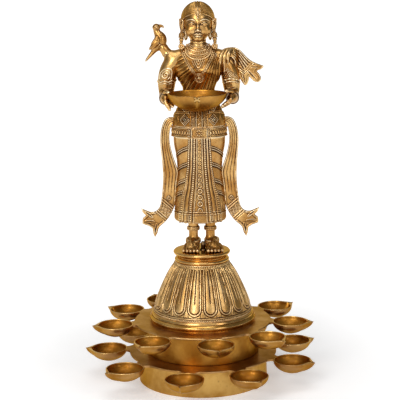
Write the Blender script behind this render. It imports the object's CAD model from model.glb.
# Looks of the brass oil lamp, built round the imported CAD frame. Shapes are worked out in
# millimetres with numpy and written to meshes in metres. The figure is drawn about her own
# middle plane, and piece() moves her to her place on the plinth.
import math
import bpy
import numpy as np
from mathutils import Matrix, Vector


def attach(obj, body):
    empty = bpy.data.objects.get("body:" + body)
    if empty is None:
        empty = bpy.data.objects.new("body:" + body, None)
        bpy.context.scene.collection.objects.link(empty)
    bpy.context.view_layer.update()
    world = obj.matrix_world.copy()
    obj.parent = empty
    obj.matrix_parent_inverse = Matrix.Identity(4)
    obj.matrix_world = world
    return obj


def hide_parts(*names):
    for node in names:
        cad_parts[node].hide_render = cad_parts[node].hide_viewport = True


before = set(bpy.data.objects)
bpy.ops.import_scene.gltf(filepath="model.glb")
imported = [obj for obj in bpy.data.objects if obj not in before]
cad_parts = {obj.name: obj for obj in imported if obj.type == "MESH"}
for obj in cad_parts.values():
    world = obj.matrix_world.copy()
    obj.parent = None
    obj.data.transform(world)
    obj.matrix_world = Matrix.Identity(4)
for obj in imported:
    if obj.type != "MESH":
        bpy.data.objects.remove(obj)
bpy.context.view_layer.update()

MM, TAU = 0.001, 2 * math.pi
FIGURE_X = -1.5

# Heights shared with the CAD source
PLATE_LOW, PLATE_HIGH = 43.9, 90.6
DOME_BASE, DOME_TOP = 105.5, 180.7
PLINTH_BASE, PLINTH_TOP = 187.9, 197.5
SKIRT_BASE, BELT_BASE, TORSO_BASE, TORSO_TOP = 241.5, 366.9, 381.5, 496.5


# Small maths

def smooth(x, low=0.0, high=1.0):
    t = np.clip((x - low) / (high - low), 0, 1)
    return t * t * (3 - 2 * t)


def window(x, a, b, c, d):
    """One from b to c, fading to nought at a and at d."""
    return smooth(x, a, b) * (1 - smooth(x, c, d))


def bump(d, width):
    """Half round profile across a line: one in the middle, nothing past width."""
    return np.sqrt(np.clip(1 - (d / width) ** 2, 0, 1))


def soft(d, width):
    """Bell profile across a line."""
    return np.exp(-(d / width) ** 2)


def scallops(x):
    """Half round ridges side by side, one to each whole step of x."""
    return bump(2 * (x % 1) - 1, 1)


def off_beat(x, pitch):
    """Distance from the nearest whole multiple of the pitch."""
    return x - np.round(x / pitch) * pitch


def beads(along, across, pitch, radius):
    """Row of round beads on a line."""
    return bump(np.hypot(off_beat(along, pitch), across), radius)


def circle(count):
    return np.arange(count) / count * TAU


def lengths(points):
    """Length along a run of points, up to each of them."""
    return np.concatenate([[0], np.cumsum(np.linalg.norm(np.diff(points, axis=0), axis=1))])


def spline(knots, values, x):
    """Natural cubic through the knots."""
    knots, values, x = (np.asarray(a, float) for a in (knots, values, x))
    n, h = len(knots), np.diff(knots)
    matrix, right = np.eye(n), np.zeros(n)
    for i in range(1, n - 1):
        matrix[i, i - 1:i + 2] = h[i - 1], 2 * (h[i - 1] + h[i]), h[i]
        right[i] = 6 * ((values[i + 1] - values[i]) / h[i] - (values[i] - values[i - 1]) / h[i - 1])
    m = np.linalg.solve(matrix, right)
    x = np.clip(x, knots[0], knots[-1])
    i = np.clip(np.searchsorted(knots, x) - 1, 0, n - 2)
    a, b, hi = knots[i + 1] - x, x - knots[i], h[i]
    return ((m[i] * a ** 3 + m[i + 1] * b ** 3) / (6 * hi)
            + (values[i] / hi - m[i] * hi / 6) * a + (values[i + 1] / hi - m[i + 1] * hi / 6) * b)


def curve_points(points, count):
    """Evenly spaced points on a smooth curve through the given ones."""
    points = np.asarray(points, float)
    chord = lengths(points)
    fine = np.linspace(0, chord[-1], count * 6)
    line = np.stack([spline(chord, column, fine) for column in points.T], 1)
    even = np.linspace(0, lengths(line)[-1], count)
    return np.stack([np.interp(even, lengths(line), column) for column in line.T], 1)


def waves(seed, *coords):
    """Slow uneven variation from a few seeded sines, within about one."""
    rng = np.random.default_rng(seed)
    total = 0
    for _ in range(5):
        phase = rng.uniform(0, TAU)
        total = total + np.sin(sum(rng.uniform(-1, 1) * c for c in coords) + phase)
    return total / 3


def near_line(u, v, path):
    """Distance from (u, v) to an open run of straight pieces, and the length along it."""
    best = np.full(np.broadcast(u, v).shape, 1e9)
    along, run = np.zeros_like(best), 0.0
    for (ax, ay), (bx, by) in zip(path, path[1:]):
        length = math.hypot(bx - ax, by - ay)
        t = np.clip(((u - ax) * (bx - ax) + (v - ay) * (by - ay)) / length ** 2, 0, 1)
        d = np.hypot(u - ax - t * (bx - ax), v - ay - t * (by - ay))
        closer = d < best
        best, along = np.where(closer, d, best), np.where(closer, run + t * length, along)
        run += length
    return best, along


# Materials

class Nodes:
    """Short forms for the shader nodes of a material or of the world."""

    def __init__(self, owner):
        owner.use_nodes = True
        self.tree = owner.node_tree
        self.tree.nodes.clear()

    def add(self, kind, inputs=None, out=0, **settings):
        """New node with its inputs joined or set; gives back one of its outputs."""
        node = self.tree.nodes.new("ShaderNode" + kind)
        for key, value in settings.items():
            setattr(node, key, value)
        for key, value in (inputs or {}).items():
            if isinstance(value, bpy.types.NodeSocket):
                self.tree.links.new(value, node.inputs[key])
            else:
                node.inputs[key].default_value = value
        return node.outputs[out] if node.outputs else None

    def remap(self, value, low, high, to_low=0.0, to_high=1.0):
        inputs = {"Value": value, "From Min": low, "From Max": high, "To Min": to_low, "To Max": to_high}
        return self.add("MapRange", inputs, interpolation_type="SMOOTHSTEP")

    def mix(self, factor, a, b):
        return self.add("Mix", {0: factor, 6: a, 7: b}, 2, data_type="RGBA")

    def maths(self, operation, a, b):
        return self.add("Math", {0: a, 1: b}, operation=operation)

    def times(self, a, b):
        return self.maths("MULTIPLY", a, b)


def tone(red, green, blue):
    """Linear colour from the usual 0 to 255 values."""
    return [((c / 255 + 0.055) / 1.055) ** 2.4 if c > 10 else c / 3295 for c in (red, green, blue)] + [1.0]


RUBBED, DEEP, SPECULAR = tone(236, 216, 176), tone(58, 26, 2), tone(236, 206, 150)


def brass(name, light, mid, rough, patina=1.0, deep=DEEP, turned=0.0, grain=0.5, rub=0.12, coat=0.1):
    """Cast brass: mottled metal, dark patina in its hollows, rubbed bright on its edges."""
    look = bpy.data.materials.new(name)
    n = Nodes(look)
    place = n.add("TexCoord", out="Object")

    def noise(scale, detail, vector=place):
        sizes = {"Vector": vector, "Scale": scale, "Detail": detail, "Roughness": 0.6}
        return n.add("TexNoise", sizes, "Fac")

    broad, blotch, fine = noise(32.0, 3.0), noise(170.0, 4.0), noise(1300.0, 3.0)
    hollow = n.add("Attribute", out="Fac", attribute_name="hollow")
    sunk = n.times(n.remap(hollow, -0.02, 0.42), n.remap(blotch, 0.2, 0.6, 0.7 * patina, patina))
    colour = n.mix(n.remap(broad, 0.35, 0.68), tone(*mid), tone(*light))
    colour = n.mix(n.remap(blotch, 0.62, 0.78, 0.0, 0.35), colour, deep)
    colour = n.mix(n.times(n.remap(hollow, -0.4, -0.95), rub), colour, RUBBED)
    colour = n.mix(sunk, colour, deep)
    spread = n.remap(blotch, 0.3, 0.7, rough - 0.05, rough + 0.07)
    roughness = n.maths("ADD", spread, n.times(sunk, 0.3))
    height = n.times(fine, grain)
    if turned:
        lines = n.add("Mapping", {"Vector": place, "Scale": (9.0, 9.0, 700.0)})
        height = n.maths("ADD", height, n.times(noise(1.0, 4.0, lines), turned))
    relief = n.add("Bump", {"Height": height, "Strength": 0.6, "Distance": 0.00012})
    shader = n.add("BsdfPrincipled", {
        "Base Color": colour, "Roughness": roughness, "Metallic": 1.0, "Specular Tint": SPECULAR,
        "Coat Weight": coat, "Coat Roughness": 0.22, "Normal": relief,
    })
    n.add("OutputMaterial", {"Surface": shader})
    return look


# each with its light and middle tones, then its roughness and how deep its patina is
antique = brass("antique_brass", (198, 158, 96), (158, 110, 46), 0.28, 0.95, rub=0.75, coat=0.35)
torso_look = brass("torso_brass", (176, 130, 68), (136, 90, 34), 0.3, rub=0.6)
jewel_look = brass("jewel_brass", (196, 154, 92), (152, 106, 44), 0.3, rub=0.3, coat=0.2)
bell_look = brass("bell_brass", (210, 172, 112), (172, 128, 66), 0.36, rub=0.35, coat=0.35)
foot_look = brass("foot_brass", (202, 158, 94), (162, 114, 50), 0.4, 0.75, rub=0.5, coat=0.2)
post_look = brass("post_brass", (128, 94, 52), (96, 66, 32), 0.4)
hair_look = brass("hair_brass", (176, 136, 76), (140, 98, 44), 0.3, rub=0.7)
lamp_rim = brass("lamp_rim_brass", (216, 180, 118), (190, 146, 78), 0.3, 0.5)
polished = brass("polished_brass", (204, 158, 84), (170, 120, 48), 0.22, 0.8, turned=0.5, grain=0.3)
satin = brass("satin_brass", (174, 124, 50), (144, 94, 26), 0.35, 0.7, turned=0.9)
drum_wall = brass("drum_brass", (206, 164, 90), (178, 130, 58), 0.36, 0.7, turned=0.9)
plate_top = brass("plate_brass", (196, 156, 104), (166, 122, 66), 0.38, 0.6)
lamp_outside = brass("lamp_brass", (176, 128, 60), (148, 98, 36), 0.33, 0.8, grain=0.25, rub=0.1)
bowl_outside = brass("bowl_brass_outside", (172, 126, 60), (148, 102, 42), 0.36, 0.6, grain=0.3, rub=0.05)
bowl_inside = brass("bowl_brass", (208, 150, 56), (184, 122, 34), 0.28, 0.6, tone(110, 60, 10), grain=0.25)


# Meshes

def sheet(rows_of_points, close=False):
    """Skin over rings of points, joined into a loop or else with both ends filled."""
    p = np.asarray(rows_of_points, float)
    rows, cols = p.shape[:2]
    c = np.arange(cols)
    after = (c + 1) % cols
    r = np.arange(rows if close else rows - 1)[:, None] * cols
    r2 = (r + cols) % (rows * cols)
    faces = [np.stack([r + c, r + after, r2 + after, r2 + c], -1).reshape(-1, 4)]
    points, end = p.reshape(-1, 3), rows * cols
    if close:
        return points, faces
    first = np.stack([np.full(cols, end), after, c], 1)
    last = np.stack([c + end - cols, after + end - cols, np.full(cols, end + 1)], 1)
    return np.concatenate([points, p[0].mean(0)[None], p[-1].mean(0)[None]]), faces + [first, last]


def ring_rows(theta, out, z, x0=0.0, y0=0.0, flat=1.0):
    """Rings of points round an upright axis; angle nought faces the viewer."""
    rows = np.broadcast_arrays(x0 + out * np.sin(theta), y0 - out * np.cos(theta) * flat, z)
    return np.stack(rows, -1)


def cavity(points, normals, edges, rounds):
    """How far each point lies below its smoothed surroundings, in millimetres."""
    n = len(points)
    a, b = edges[:, 0], edges[:, 1]
    degree = np.maximum(np.bincount(a, minlength=n) + np.bincount(b, minlength=n), 1)
    moved = points.copy()
    for _ in range(rounds):
        for k in range(3):
            total = np.bincount(a, moved[b, k], n) + np.bincount(b, moved[a, k], n)
            moved[:, k] = 0.5 * moved[:, k] + 0.5 * total / degree
    return ((moved - points) * normals).sum(1)


def read(group, key, width, kind=np.float32):
    """One array of a mesh's own values."""
    values = np.zeros(len(group) * width, kind)
    group.foreach_get(key, values)
    return values.reshape(-1, width)


def piece(name, parts, nodes=(), look=antique, crease=50.0, body="pedestal",
          x0=FIGURE_X):
    """Writes one mesh object, its hollows for the patina, its finish and its body."""
    points, faces, start = [], [], 0
    for spots, polygons in parts if isinstance(parts, list) else [parts]:
        points.append(spots + np.array([x0, 0, 0]))
        faces += [f + start for f in polygons]
        start += len(spots)
    mesh = bpy.data.meshes.new(name)
    sizes = np.concatenate([np.full(len(f), f.shape[1]) for f in faces])
    mesh.vertices.add(start)
    mesh.vertices.foreach_set("co", (np.concatenate(points) * MM).astype(np.float32).ravel())
    mesh.loops.add(int(sizes.sum()))
    mesh.loops.foreach_set("vertex_index", np.concatenate([f.ravel() for f in faces]).astype(np.int32))
    mesh.polygons.add(len(sizes))
    mesh.polygons.foreach_set("loop_start", np.concatenate([[0], np.cumsum(sizes)[:-1]]).astype(np.int32))
    mesh.update(calc_edges=True)
    mesh.validate()
    mesh.polygons.foreach_set("use_smooth", np.ones(len(mesh.polygons), bool))
    mesh.set_sharp_from_angle(angle=math.radians(crease))
    spots, normals = read(mesh.vertices, "co", 3) / MM, read(mesh.vertices, "normal", 3)
    edges = read(mesh.edges, "vertices", 2, np.int32)
    near, wide = (cavity(spots.astype(float), normals, edges, rounds) for rounds in (5, 30))
    hollow = (near * 3.0 + wide).astype(np.float32)
    mesh.attributes.new("hollow", "FLOAT", "POINT").data.foreach_set("value", hollow)
    mesh.materials.append(look)
    obj = bpy.data.objects.new(name, mesh)
    bpy.context.scene.collection.objects.link(obj)
    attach(obj, body)
    if nodes:
        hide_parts(*nodes)
    return obj


# Lamps: a round bowl drawn out to a pointed, pinched spout

FLANK, SHARP = math.radians(41.0), math.radians(34.0)
LIP_PROUD = 0.66


def leaf_radius(phi, radius, reach):
    """Rim radius of a leaf shaped bowl by the angle from its spout."""
    start = radius * np.array([math.cos(FLANK), math.sin(FLANK)])
    tip = np.array([reach, 0.0])
    length = np.linalg.norm(tip - start)
    first = start + np.array([math.sin(FLANK), -math.cos(FLANK)]) * length * 0.40
    second = tip + np.array([-math.cos(SHARP), math.sin(SHARP)]) * length * 0.34
    t = np.linspace(0, 1, 40)[:, None]
    line = (1 - t) ** 3 * start + 3 * (1 - t) ** 2 * t * first + 3 * (1 - t) * t ** 2 * second + t ** 3 * tip
    angle, size = np.arctan2(line[:, 1], line[:, 0]), np.hypot(line[:, 0], line[:, 1])
    turn = np.abs((phi + math.pi) % TAU - math.pi)
    return np.where(turn < FLANK, np.interp(turn, angle[::-1], size[::-1]), radius)


def bowl_rows(radius, reach, depth, wall, tip_solid, cols, seed, rows=26):
    """Rings of points from the outside's middle over the rim to the inside's middle."""
    t = circle(cols)
    phi = t - 0.62 * np.sin(t)
    round_x, round_y = 3 * np.cos(phi), 3 * np.sin(phi)
    uneven, lift = 1 + 0.007 * waves(seed, round_x, round_y), 0.28 * waves(seed + 1, round_x, round_y)
    # depth share, then the round part's and the spout's shares of their sizes at the rim
    knots = (0.0, 0.28, 0.58, 0.83, 1.0)
    round_shares, spout_shares = (1, 0.955, 0.81, 0.56, 0.28), (1, 0.80, 0.50, 0.25, 0.06)

    def ring(size, far, share, deep):
        if share > 1:
            width, pull = size * np.interp(share, [1.0, 1.04], [0.28, 0.0]), 0.0
        else:
            width, pull = size * spline(knots, round_shares, share), float(spline(knots, spout_shares, share))
        edge = leaf_radius(phi, width, width + (far - size) * pull) * uneven
        level = -deep * min(share, 1.0) - 0.25 * max(share - 1, 0) / 0.04
        return np.stack([edge * np.cos(phi), edge * np.sin(phi), level + lift * (1 - min(share, 1.0))], -1)

    steps = [*np.sin(np.linspace(0, math.pi / 2, rows)) ** 1.3, 1.02, 1.036]
    outside = [ring(radius, reach, s, depth) for s in steps[::-1]]
    inner_reach = reach - tip_solid
    inside = [ring(radius - wall, inner_reach, s, depth - wall) for s in steps]
    rim = []
    for share, proud in ((0.12, 0.45), (0.3, 0.62), (0.5, LIP_PROUD), (0.7, 0.62), (0.88, 0.45)):
        band = outside[-1] * (1 - share) + inside[0] * share
        x, y = band[:, 0], band[:, 1]
        channel = soft(y, 1.7) * window(x, inner_reach - 4, inner_reach, reach - 3, reach - 1)
        rough = smooth(x, reach - 9, reach - 4) * waves(seed + 2, x, y)
        band[:, 2] += proud - 1.5 * channel + 0.25 * rough
        rim.append(band)
    return np.array(outside + rim + inside)


def bowl_piece(name, points, first_inner, raised, look, node, body):
    """Bowl with one finish outside, one inside, and a paler one where it is raised."""
    obj = piece(name, sheet(points), [node], look, 60.0, body, 0.0)
    obj.data.materials.append(bowl_inside)
    obj.data.materials.append(lamp_rim)
    rows, cols = points.shape[:2]
    inner = np.arange(rows - 1)[:, None] >= first_inner
    walls = np.where(raised, 2, inner * np.ones(cols)).astype(np.int32)
    kinds = np.concatenate([walls.ravel(), np.zeros(cols, np.int32), np.ones(cols, np.int32)])
    obj.data.polygons.foreach_set("material_index", kinds)


def lamp(node, ring, radius, reach, depth, azimuth, top, body, seed):
    rows = bowl_rows(radius, reach, depth, 2.0, 6.5, 132, seed)
    a = math.radians(azimuth)
    away, across = np.array([math.sin(a), -math.cos(a)]), np.array([math.cos(a), math.sin(a)])
    flat = rows[..., :1] * away + rows[..., 1:2] * across + away * ring
    points = np.concatenate([flat, rows[..., 2:] - LIP_PROUD + top], -1)
    level = rows[..., 2].max(axis=1)
    rim = np.minimum(level[:-1], level[1:]) > level.max() - 0.7
    bowl_piece(node + "_bowl", points, len(rows) // 2 + 2, rim[:, None], lamp_outside, node, body)


def make_tiers():
    low_offsets = (1.5, -0.8, -1.9, -1.5, 0.8, 0.9, 0.5, -2.2, 0.0)
    high_offsets = (0.7, -2.5, -4.5, -5.6, -1.0, 0.8, -4.6, -7.2, -0.3)
    # ring, round radius, spout reach, depth, first lamp's angle, plate's top and hand set angles
    tiers = {
        "lower": (142.0, 27.8, 35.5, 17.8, -12.3, PLATE_LOW, low_offsets),
        "upper": (130.5, 26.4, 34.5, 17.0, 7.2, PLATE_HIGH, high_offsets),
    }
    for name, (ring, radius, reach, depth, turn, top, offsets) in tiers.items():
        for i, offset in enumerate(offsets):
            node, azimuth = name + "_lamp_" + str(i + 1), turn + 40 * i + offset
            seed = 11 * i + len(name) + int(top)
            lamp(node, ring, radius, reach, depth, azimuth, top, name + "_tier", seed)


# Turned and lotus petalled pedestal

def turned_piece(name, profile, node, cols=240, wobble=0.12):
    """Closed ring from (radius, height) points, a little out of true as castings are."""
    r, z = (column[:, None] for column in np.asarray(profile, float).T)
    theta = circle(cols)
    out = r + wobble * waves(len(name), 2 * np.sin(theta), 2 * np.cos(theta)) * smooth(r, 5, 30)
    rows = ring_rows(theta, out, z)
    piece(name, sheet(rows, close=True), [node], polished, 40.0, x0=0.0)


def arc(low, side, high, count=12):
    """Points on a smooth bulge through three (radius, height) points."""
    return [tuple(p) for p in curve_points([low, side, high], count)]


def petal_relief(theta, z, radius):
    """Lotus petals, slits, bead rows and fine lines on the bell, as a height over its surface."""
    turn = np.degrees(theta) % 20 - 10
    across = radius * np.radians(turn)
    half = radius * math.tan(math.radians(8.7))
    round_level, foot_half = DOME_BASE + 18.6, 10.6
    below = np.hypot(across * foot_half / half, (round_level - z) * foot_half / 11.3)
    inside = np.where(z > round_level, half - np.abs(across), foot_half - below)
    petals = -0.5 * (1 - smooth(inside, -0.35, 0.5)) - 0.7 * bump(inside, 0.7)
    petals += 0.6 * bump(inside - 1.4, 1.5) - 0.75 * bump(inside - 3.0, 0.65)
    belly = np.clip(1 - (across / np.maximum(half - 3.2, 2)) ** 2, 0, 1)
    petals += smooth(inside, 3.2, 4.6) * (0.35 + 0.75 * belly * (1 - 0.6 * smooth(z, 135, 165)))
    petals -= 1.3 * bump(across, 0.85) * window(z, 128.0, 134.0, 173, 176)
    leaf = 3.6 * (1 - smooth(z, 113.5, 127.0)) - radius * np.radians(10 - np.abs(turn))
    petals += 0.75 * smooth(leaf, 0, 1.1) * smooth(z, 111.2, 112.4) * (inside < 0)
    lines = 0.6 * bump(z - 109.5, 0.8) + 0.6 * bump(z - 176.9, 0.7) + 0.7 * bump(z - 180.2, 0.8)
    for count, level in ((168, 107.2), (96, 178.5)):
        pitch = 360 / count
        along = radius * np.radians(np.degrees(theta) % pitch - pitch / 2)
        lines = lines + 0.85 * bump(np.hypot(along, z - level), 1.15)
    return petals * window(z, 110.3, 111.3, 175.6, 176.4) + lines


def make_pedestal():
    hole, low, high = 66.2, PLATE_HIGH, DOME_BASE - 0.1
    foot = [(hole, low), (75.2, low), (75.3, 91.6)] + arc((75.6, 92.4), (78.6, 96.6), (76.2, 100.6), 16)
    foot += [(75.6, 101.1), (76.0, 101.9), (75.6, 103.4), (75.0, 104.9), (74.2, high), (hole, high)]
    turned_piece("pedestal_foot_ring", foot, "pedestal_foot")

    theta, z = circle(1008), np.linspace(DOME_BASE, DOME_TOP, 178)[:, None]
    rise = (0.0, 0.17, 0.35, 0.53, 0.70, 0.84, 0.94, 1.0)
    narrowing = (0.0, 0.105, 0.25, 0.415, 0.59, 0.77, 0.92, 1.0)
    radius = 72.8 - 33.8 * spline(rise, narrowing, (z - DOME_BASE) / (DOME_TOP - DOME_BASE))
    slope = np.gradient(radius[:, 0], z[:, 0])[:, None]
    size = np.sqrt(1 + slope ** 2)
    relief = petal_relief(theta, z, radius) + 0.08 * waves(4, 6 * np.cos(theta), z / 9)
    outside = ring_rows(theta, radius + relief / size, z - relief * (slope / size))
    inner_z = np.linspace(DOME_TOP, DOME_BASE, 10)[:, None]
    inner = ring_rows(theta, np.interp(inner_z, z[:, 0], radius[:, 0]) - 4, inner_z)
    bell = sheet(np.concatenate([outside, inner]), close=True)
    piece("lotus_bell", bell, ["pedestal_dome"], bell_look, x0=0.0)

    bore, low, high = 5.1, DOME_TOP, PLINTH_BASE - 0.1
    collar = [(bore, low), (38.3, low)] + arc((38.8, 181.3), (40.3, 183.7), (38.6, 186.3), 12)
    collar += [(37.6, 186.8), (36.3, high), (bore, high)]
    turned_piece("pedestal_neck_ring", collar, "pedestal_collar")
    low, high = PLINTH_BASE, PLINTH_TOP
    disc = [(bore, low), (36.0, low), (36.2, 189.2), (36.9, 190.4), (39.0, 191.2)]
    disc += arc((40.6, 192.0), (42.0, 194.6), (40.4, 197.1), 12) + [(39.0, high), (32.0, high - 0.05)]
    disc += [(20.0, high), (2.0, high), (2.0, 194.5), (bore, 194.4)]
    turned_piece("plinth_disc", disc, "figure_plinth")


# Rounded bodies: distance fields on a grid, and a mesh of their surface

class Body:
    """Union of soft primitives, sampled on a grid and turned into a smooth mesh."""

    def __init__(self, low, high, step):
        self.low, self.step = np.array(low, float), step
        self.count = [int(math.ceil((b - a) / step)) + 1 for a, b in zip(low, high)]
        self.field = np.full(self.count, 50.0, np.float32)

    def near(self, low, high):
        """Slices of the grid round a box, and its coordinates."""
        a = [max(0, int((lo - o) / self.step) - 1) for lo, o in zip(low, self.low)]
        b = [min(n, int((hi - o) / self.step) + 3) for hi, o, n in zip(high, self.low, self.count)]
        axes = [(np.arange(i, j) * self.step + o).astype(np.float32) for i, j, o in zip(a, b, self.low)]
        return tuple(slice(i, j) for i, j in zip(a, b)), np.meshgrid(*axes, indexing="ij", sparse=True)

    def join(self, place, shape, blend, sign=1):
        """Joins the shape (sign 1), or takes it away (sign -1), with a soft seam."""
        old = sign * self.field[place]
        h = np.clip(0.5 + 0.5 * (shape - old) / blend, 0, 1)
        self.field[place] = sign * (shape + (old - shape) * h - blend * h * (1 - h))

    def change(self, low, high, distance, blend, sign):
        reach = blend + 2 * self.step
        place, (x, y, z) = self.near(np.array(low) - reach, np.array(high) + reach)
        if self.field[place].size:
            self.join(place, distance(x, y, z), blend, sign)

    def ball(self, centre, radii, blend=1.0, sign=1):
        """Oval with its three half sizes."""
        c, r = np.asarray(centre, float), np.asarray(radii, float)

        def distance(*spot):
            q = [(v - o) / s for v, o, s in zip(spot, c, r)]
            k0 = np.sqrt(sum(v * v for v in q)) + 1e-6
            k1 = np.sqrt(sum((v / s) ** 2 for v, s in zip(q, r))) + 1e-6
            return k0 * (k0 - 1) / k1

        self.change(c - r, c + r, distance, blend, sign)

    def limb(self, points, radii, blend=1.0, sign=1, flat=1.0):
        """Run of tapering rods through points, thinned from front to back by flat."""
        points = [np.asarray(p, float) for p in points]
        for a, b, ra, rb in zip(points, points[1:], radii, radii[1:]):
            axis = b - a
            size = float(axis @ axis) + 1e-9

            def distance(x, y, z, a=a, axis=axis, size=size, ra=ra, rb=rb):
                px, py, pz = x - a[0], y - a[1], z - a[2]
                t = np.clip((px * axis[0] + py * axis[1] + pz * axis[2]) / size, 0, 1)
                dx, dy, dz = px - t * axis[0], py - t * axis[1], pz - t * axis[2]
                dy = dy + dy * (1 / flat - 1)
                return np.sqrt(dx * dx + dy * dy + dz * dz) - (ra + (rb - ra) * t)

            reach = max(ra, rb)
            self.change(np.minimum(a, b) - reach, np.maximum(a, b) + reach, distance, blend, sign)

    def run(self, spots, count, blend=1.0, flat=1.0):
        """Smooth tapering rod through (across, forward, height, radius) points."""
        line = curve_points(np.array(spots) * (1, -1, 1, 1), count)
        self.limb(line[:, :3], line[:, 3], blend, 1, flat)

    def carve(self, low, high, depth):
        """Adds a height in millimetres to the surface inside a box: up is proud."""
        place, (x, y, z) = self.near(low, high)
        self.field[place] -= depth(x, y, z)

    def part(self):
        """Surface net of the field's zero level."""
        f, inside = self.field, self.field < 0
        n = [k - 1 for k in f.shape]
        corners = [(i, j, k) for i in (0, 1) for j in (0, 1) for k in (0, 1)]
        total = sum(inside[i:n[0] + i, j:n[1] + j, k:n[2] + k].astype(np.int8) for i, j, k in corners)
        active = (total > 0) & (total < 8)
        cells = np.argwhere(active)
        number = np.full(n, -1, np.int32)
        number[active] = np.arange(len(cells))
        place, hits = np.zeros((len(cells), 3)), np.zeros(len(cells))
        for a in corners:
            for axis in (k for k in range(3) if not a[k]):
                b = tuple(v + (k == axis) for k, v in enumerate(a))
                fa, fb = (f[tuple((cells + c).T)].astype(float) for c in (a, b))
                crossing = (fa < 0) != (fb < 0)
                spot = cells + np.asarray(a, float)
                spot[:, axis] += np.where(crossing, fa / np.where(crossing, fa - fb, 1), 0)
                place += spot * crossing[:, None]
                hits += crossing
        quads = []
        for axis in range(3):
            u, v = (axis + 1) % 3, (axis + 2) % 3
            cut = [slice(1, -1)] * 3
            first, second = (tuple(s if k == axis else c for k, c in enumerate(cut))
                             for s in (slice(0, -1), slice(1, None)))
            a, b = inside[first], inside[second]
            for mask, order in ((a & ~b, 1), (b & ~a, -1)):
                spots, ring = np.argwhere(mask), []
                for du, dv in ((0, 0), (1, 0), (1, 1), (0, 1))[::order]:
                    cell = spots.copy()
                    cell[:, u] += du
                    cell[:, v] += dv
                    ring.append(number[tuple(cell.T)])
                quads.append(np.stack(ring, 1))
        return self.low + place / hits[:, None] * self.step, [np.concatenate(quads)]

    def write(self, name, node, hand=1, out=0.0):
        piece(name, mirrored(self.part(), hand, out), [node], crease=180.0)


def mirrored(part, hand, out=0.0):
    """Part drawn for her left side, turned over for her right where hand is -1."""
    points, faces = part
    points = points * (hand, 1, 1) + np.array([out if hand > 0 else 0, 0, 0])
    return points, [f[:, ::-1] for f in faces] if hand < 0 else faces


# Small solid parts

def ball_part(centre, radii, rings=8, sides=14, turn=None):
    """Closed oval with poles."""
    r = np.broadcast_to(np.asarray(radii, float), 3)
    lat, lon = np.linspace(-math.pi / 2, math.pi / 2, rings + 1)[1:-1, None], circle(sides)
    rows = np.broadcast_arrays(np.cos(lat) * np.cos(lon), np.cos(lat) * np.sin(lon), np.sin(lat))
    points, faces = sheet(np.stack(rows, -1) * r)
    points[-2:] = (0, 0, -r[2]), (0, 0, r[2])
    if turn is not None:
        points = points @ np.asarray(turn).T
    return points + np.asarray(centre, float), faces


def unit(vectors):
    return vectors / (np.linalg.norm(vectors, axis=-1)[..., None] + 1e-9)


def skin(line, ahead, side, radii, close=False):
    """Round rod along points: radii holds its size by place and by angle."""
    side, turn = unit(side), circle(radii.shape[1])[:, None]
    other = np.cross(ahead, side)
    rows = line[:, None] + radii[..., None] * (np.cos(turn) * side[:, None] + np.sin(turn) * other[:, None])
    return sheet(rows, close)


def tube_part(line, radius, sides, close=False):
    """Rod along points, with rounded ends unless it closes on itself."""
    radii, ahead = np.full(len(line), radius), np.gradient(line, axis=0)
    if close:
        ahead = np.roll(line, -1, 0) - np.roll(line, 1, 0)
    else:
        first, last = unit(ahead[0]) * radius, unit(ahead[-1]) * radius
        start = [line[0] - first * 0.6, line[0] - first * 0.35]
        line = np.vstack([*start, line, line[-1] + last * 0.35, line[-1] + last * 0.6])
        radii = radius * np.array([0.45, 0.8, *np.ones(len(radii)), 0.8, 0.45])
        ahead = ahead[[0, 0, *range(len(ahead)), -1, -1]]
    ahead = unit(ahead)
    side = np.array([0, 0, 1.0]) - ahead * ahead[:, 2:]
    return skin(line, ahead, side, radii[:, None] * np.ones(sides), close)


def rope_part(line, radius, twist, sides=14):
    """Twisted rope along points."""
    ahead = unit(np.gradient(line, axis=0))
    phase = lengths(line)[:, None] / twist * math.pi
    radii = radius * (1 + 0.2 * np.cos(2 * (circle(sides) - phase)))
    return skin(line, ahead, np.cross(ahead, (0, 1.0, 0)), radii)


def string_of(line, pitch, radius, squash=0.8):
    """Beads along points."""
    whole = lengths(line)[-1]
    count = max(2, int(whole / pitch))
    at = (np.arange(count) + 0.5) / count * whole
    spots = np.stack([np.interp(at, lengths(line), column) for column in line.T], 1)
    return [ball_part(p, (radius, radius * squash, radius), 5, 8) for p in spots]


# The dressed figure

def oval_rows(z, width, front, back, cols, forward=0.0):
    """Level ovals with their own front and back depth; angle nought faces the viewer."""
    sizes = (width, front, back, forward)
    width, front, back, forward = (np.broadcast_to(size, z.shape)[:, None] for size in sizes)
    theta = circle(cols)
    x = width * np.sin(theta)
    y = -forward - np.where(np.cos(theta) > 0, front, back) * np.cos(theta)
    return theta, x, y, np.broadcast_to(z[:, None], x.shape)


def push_out(x, y, z, relief):
    """Moves a level grid of points along its own normals."""
    p = np.stack([x, y, z], -1)
    normal = np.cross(np.roll(p, -1, 1) - np.roll(p, 1, 1), np.gradient(p, axis=0))
    return p + unit(normal) * relief[..., None]


def girth(x, y):
    """Signed length round each level row from the front."""
    run = np.cumsum(np.hypot(np.diff(x, axis=1, prepend=x[:, :1]), np.diff(y, axis=1, prepend=y[:, :1])), 1)
    whole = run[:, -1:] + np.hypot(x[:, :1] - x[:, -1:], y[:, :1] - y[:, -1:])
    return np.where(run > whole / 2, run - whole, run)


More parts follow.
